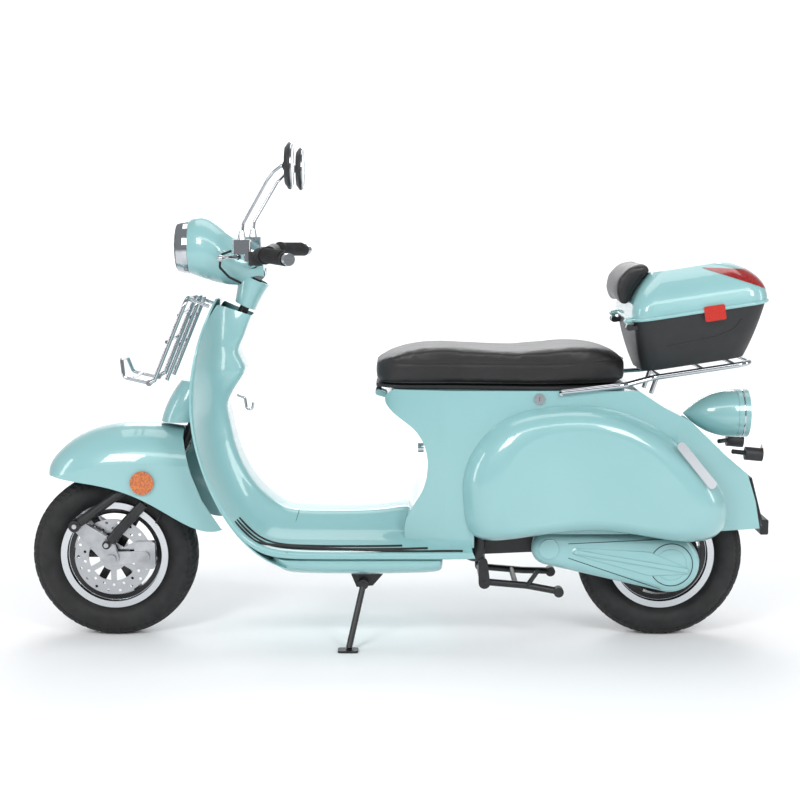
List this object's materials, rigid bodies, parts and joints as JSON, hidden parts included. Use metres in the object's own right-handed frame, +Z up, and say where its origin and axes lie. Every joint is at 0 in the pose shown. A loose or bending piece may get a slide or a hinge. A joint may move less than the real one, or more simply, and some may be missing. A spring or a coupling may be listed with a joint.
{
  "type": "moped scooter",
  "caption": "Retro step-through electric moped with rounded painted bodywork, chrome trim, long seat and rear top case.",
  "frame": {"origin": "centre of the overall box on the floor, midway between nose and tail on the centre plane", "axes": "+X to the rear along the wheelbase, +Y to the rider's right, +Z up"},
  "size_m": [1.926, 0.7268, 1.279],
  "materials": {
    "painted_steel": "gloss",
    "body_paint": "gloss",
    "chrome": "polished",
    "black_steel": "satin",
    "rubber": "matte",
    "tyre": "matte",
    "leatherette": "satin",
    "black_plastic": "textured",
    "cast_aluminium": "cast",
    "brushed_steel": "brushed",
    "clear_lens": "gloss",
    "red_lens": "gloss",
    "amber_lens": "gloss",
    "red_plastic": "gloss"
  },
  "bodies": {
    "chassis": {"main_frame": "black_steel", "head_bearings": "brushed_steel", "leg_shield": "body_paint", "knee_panel": "body_paint", "horn_cover": "body_paint", "floor_panel": "body_paint", "floor_strips": "rubber", "belly_pan": "body_paint", "rear_body": "body_paint", "cowl_left": "body_paint", "cowl_right": "body_paint", "chrome_fittings": "chrome", "battery_and_controller": "black_plastic", "rear_mudguard": "black_plastic", "rear_rack": "chrome", "topcase_base": "black_plastic", "tail_lamp_housing": "body_paint", "tail_lamp_lens": "red_lens", "rear_indicators": "black_plastic", "front_rack": "chrome", "stand_brackets": "black_steel", "rear_shock": "black_steel"},
    "fork": {"steering_fork": "black_steel", "front_fender": "body_paint", "fender_reflectors": "amber_lens", "headset_cover": "body_paint", "headlamp_rim": "chrome", "headlamp_lens": "clear_lens", "handlebar": "chrome", "left_grip": "rubber", "control_clusters": "black_plastic", "master_cylinders": "chrome", "mirror_stems": "chrome", "brake_hoses": "rubber", "front_shocks": "black_steel"},
    "front_link": {"front_link": "cast_aluminium", "brake_caliper": "cast_aluminium"},
    "front_wheel": {"front_rim": "cast_aluminium", "front_tyre": "tyre", "front_disc": "brushed_steel"},
    "swingarm": {"swingarm": "black_steel", "swingarm_cover": "body_paint"},
    "rear_wheel": {"hub_motor": "cast_aluminium", "rear_tyre": "tyre"},
    "throttle": {"throttle_grip": "rubber"},
    "brake_lever_left": {"brake_lever_left": "chrome"},
    "brake_lever_right": {"brake_lever_right": "chrome"},
    "horn_button": {"horn_button": "red_plastic"},
    "start_button": {"start_button": "red_plastic"},
    "side_stand": {"side_stand": "black_steel"},
    "centre_stand": {"centre_stand": "black_steel"},
    "seat": {"seat_cushion": "leatherette", "seat_pan": "black_plastic"},
    "topcase_lid": {"topcase_lid": "body_paint", "topcase_backrest": "leatherette"},
    "latch_left": {"latch_left": "red_plastic"},
    "latch_right": {"latch_right": "red_plastic"},
    "mirror_left": {"mirror_head_left": "black_plastic"},
    "mirror_right": {"mirror_head_right": "black_plastic"},
    "rack_tray": {"rack_tray": "chrome"}
  },
  "joints": [
    {"name": "steering", "type": "hinge", "parent": "chassis", "child": "fork", "pos_m": [-0.403, 0, 0.862], "axis": [0.4163, 0, 0.9092], "range_deg": [-38, 38]},
    {"name": "front_suspension", "type": "hinge", "parent": "fork", "child": "front_link", "pos_m": [-0.837, 0, 0.307], "axis": [0, 1, 0], "range_deg": [-8, 3], "stiffness_Nm_per_rad": 900, "springref_deg": 2.29, "deforming": ["front_shocks"]},
    {"name": "front_wheel_spin", "type": "hinge", "parent": "front_link", "child": "front_wheel", "pos_m": [-0.748, 0, 0.216], "axis": [0, 1, 0], "continuous": true},
    {"name": "rear_suspension", "type": "hinge", "parent": "chassis", "child": "swingarm", "pos_m": [0.38, 0, 0.254], "axis": [0, 1, 0], "range_deg": [-3, 1.5], "stiffness_Nm_per_rad": 9000, "springref_deg": 1.15, "deforming": ["rear_shock"]},
    {"name": "rear_wheel_spin", "type": "hinge", "parent": "swingarm", "child": "rear_wheel", "pos_m": [0.682, 0, 0.216], "axis": [0, 1, 0], "continuous": true},
    {"name": "throttle_twist", "type": "hinge", "parent": "fork", "child": "throttle", "pos_m": [-0.268, 0.342, 1.001], "axis": [0.5035, 0.8632, -0.036], "range_deg": [0, 70], "stiffness_Nm_per_rad": 0.4},
    {"name": "brake_lever_left_pull", "type": "hinge", "parent": "fork", "child": "brake_lever_left", "pos_m": [-0.402, -0.156, 1], "axis": [0, 0, 1], "range_deg": [0, 20], "stiffness_Nm_per_rad": 2},
    {"name": "brake_lever_right_pull", "type": "hinge", "parent": "fork", "child": "brake_lever_right", "pos_m": [-0.402, 0.156, 1], "axis": [0, 0, -1], "range_deg": [0, 20], "stiffness_Nm_per_rad": 2},
    {"name": "horn_button_press", "type": "slide", "parent": "fork", "child": "horn_button", "axis": [-1, 0, 0], "range_m": [0, 0.003], "stiffness_N_per_m": 200},
    {"name": "start_button_press", "type": "slide", "parent": "fork", "child": "start_button", "axis": [-1, 0, 0], "range_m": [0, 0.003], "stiffness_N_per_m": 200},
    {"name": "side_stand_fold", "type": "hinge", "parent": "chassis", "child": "side_stand", "pos_m": [-0.094, -0.112, 0.16], "axis": [0, -1, 0], "range_deg": [0, 95]},
    {"name": "centre_stand_drop", "type": "hinge", "parent": "chassis", "child": "centre_stand", "pos_m": [0.218, 0, 0.158], "axis": [0, 1, 0], "range_deg": [0, 95], "stiffness_Nm_per_rad": 6, "springref_deg": -68.75},
    {"name": "seat_open", "type": "hinge", "parent": "chassis", "child": "seat", "pos_m": [-0.056, 0, 0.646], "axis": [0, -1, 0], "range_deg": [0, 60]},
    {"name": "topcase_open", "type": "hinge", "parent": "chassis", "child": "topcase_lid", "pos_m": [0.57198, 0, 0.82402], "axis": [0, 1, 0], "range_deg": [-85, 0]},
    {"name": "latch_left_open", "type": "hinge", "parent": "chassis", "child": "latch_left", "pos_m": [0.77773, -0.1935, 0.85449], "axis": [0.9885, 0, 0.1513], "range_deg": [0, 50]},
    {"name": "latch_right_open", "type": "hinge", "parent": "chassis", "child": "latch_right", "pos_m": [0.77773, 0.1935, 0.85449], "axis": [-0.9885, 0, -0.1513], "range_deg": [0, 50]},
    {"name": "mirror_left_swivel", "type": "hinge", "parent": "fork", "child": "mirror_left", "pos_m": [-0.287, -0.208, 1.222], "axis": [0, 0, 1], "range_deg": [-15, 15]},
    {"name": "mirror_right_swivel", "type": "hinge", "parent": "fork", "child": "mirror_right", "pos_m": [-0.287, 0.208, 1.222], "axis": [0, 0, 1], "range_deg": [-15, 15]},
    {"name": "rack_tray_fold", "type": "hinge", "parent": "chassis", "child": "rack_tray", "pos_m": [-0.64, 0, 0.676], "axis": [0, 1, 0], "range_deg": [0, 55]}
  ]
}
